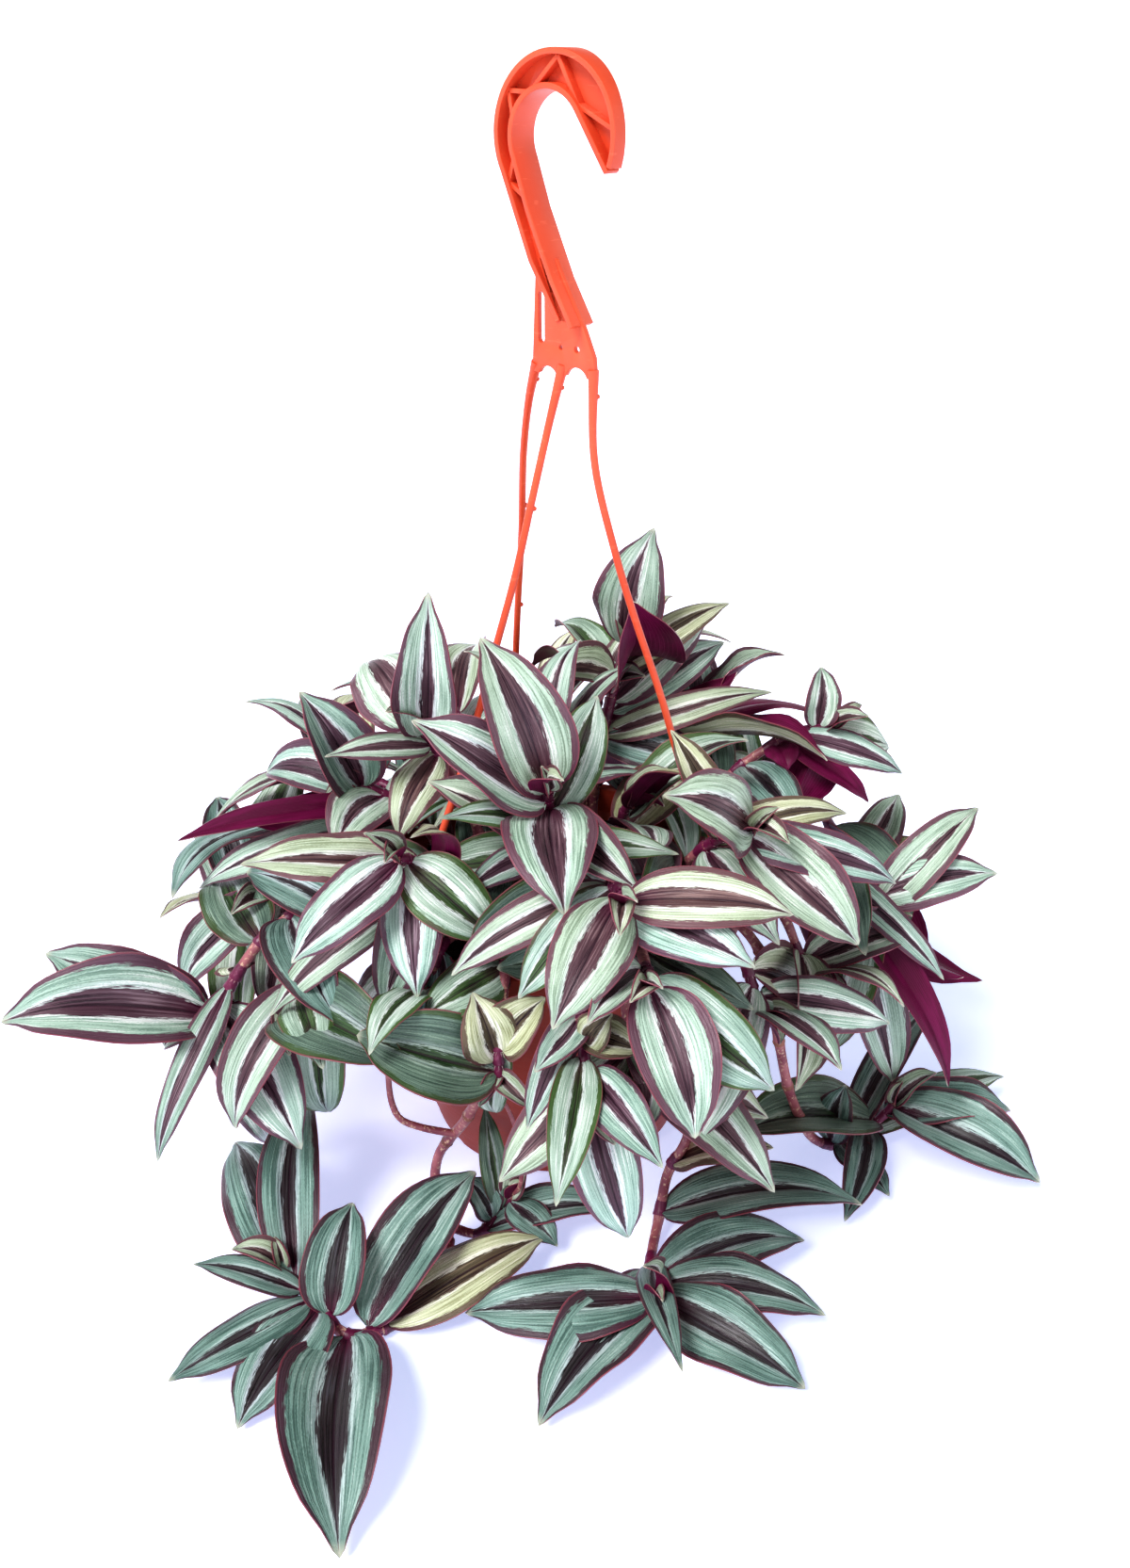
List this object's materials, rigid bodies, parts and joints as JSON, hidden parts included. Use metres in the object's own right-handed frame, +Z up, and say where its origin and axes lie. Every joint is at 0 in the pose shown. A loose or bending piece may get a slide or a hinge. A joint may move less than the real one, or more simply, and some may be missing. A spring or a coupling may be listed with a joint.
{
  "type": "potted tradescantia",
  "caption": "Striped trailing house plant in a round plastic hanging pot with a moulded hook hanger, standing on a surface.",
  "frame": {"origin": "centre of the pot's foot, on the surface that it stands on", "axes": "+Z up, +X to the right of someone who looks at the plant's front, +Y away from them"},
  "size_m": [0.41, 0.4035, 0.4236],
  "materials": {
    "pot": "terracotta red, satin",
    "hanger": "orange red, satin",
    "soil": "dark potting soil, coarse and dull",
    "leafy_stem": "fleshy leaves, silver green with purple stripes above and magenta below, with a soft sheen"
  },
  "bodies": {
    "root": {"hanger": "hanger", "leafy_stem_back": "leafy_stem", "leafy_stem_back_high": "leafy_stem", "leafy_stem_back_left": "leafy_stem", "leafy_stem_back_left_low": "leafy_stem", "leafy_stem_back_left_top": "leafy_stem", "leafy_stem_back_low": "leafy_stem", "leafy_stem_back_right": "leafy_stem", "leafy_stem_back_right_low": "leafy_stem", "leafy_stem_back_right_top": "leafy_stem", "leafy_stem_centre": "leafy_stem", "leafy_stem_centre_low": "leafy_stem", "leafy_stem_front_left": "leafy_stem", "leafy_stem_front_left_low": "leafy_stem", "leafy_stem_front_low": "leafy_stem", "leafy_stem_left": "leafy_stem", "leafy_stem_left_back_low": "leafy_stem", "leafy_stem_left_high": "leafy_stem", "leafy_stem_left_low": "leafy_stem", "leafy_stem_left_middle": "leafy_stem", "leafy_stem_middle": "leafy_stem", "leafy_stem_middle_right": "leafy_stem", "leafy_stem_right": "leafy_stem", "leafy_stem_right_back": "leafy_stem", "leafy_stem_right_high": "leafy_stem", "leafy_stem_skirt_1": "leafy_stem", "leafy_stem_skirt_2": "leafy_stem", "leafy_stem_skirt_3": "leafy_stem", "leafy_stem_skirt_4": "leafy_stem", "leafy_stem_top_front": "leafy_stem", "leafy_stem_top_left": "leafy_stem", "leafy_stem_top_right": "leafy_stem", "pot": "pot", "soil": "soil", "trailing_stem_front": "leafy_stem", "trailing_stem_left": "leafy_stem", "trailing_stem_right": "leafy_stem"}
  },
  "joints": []
}
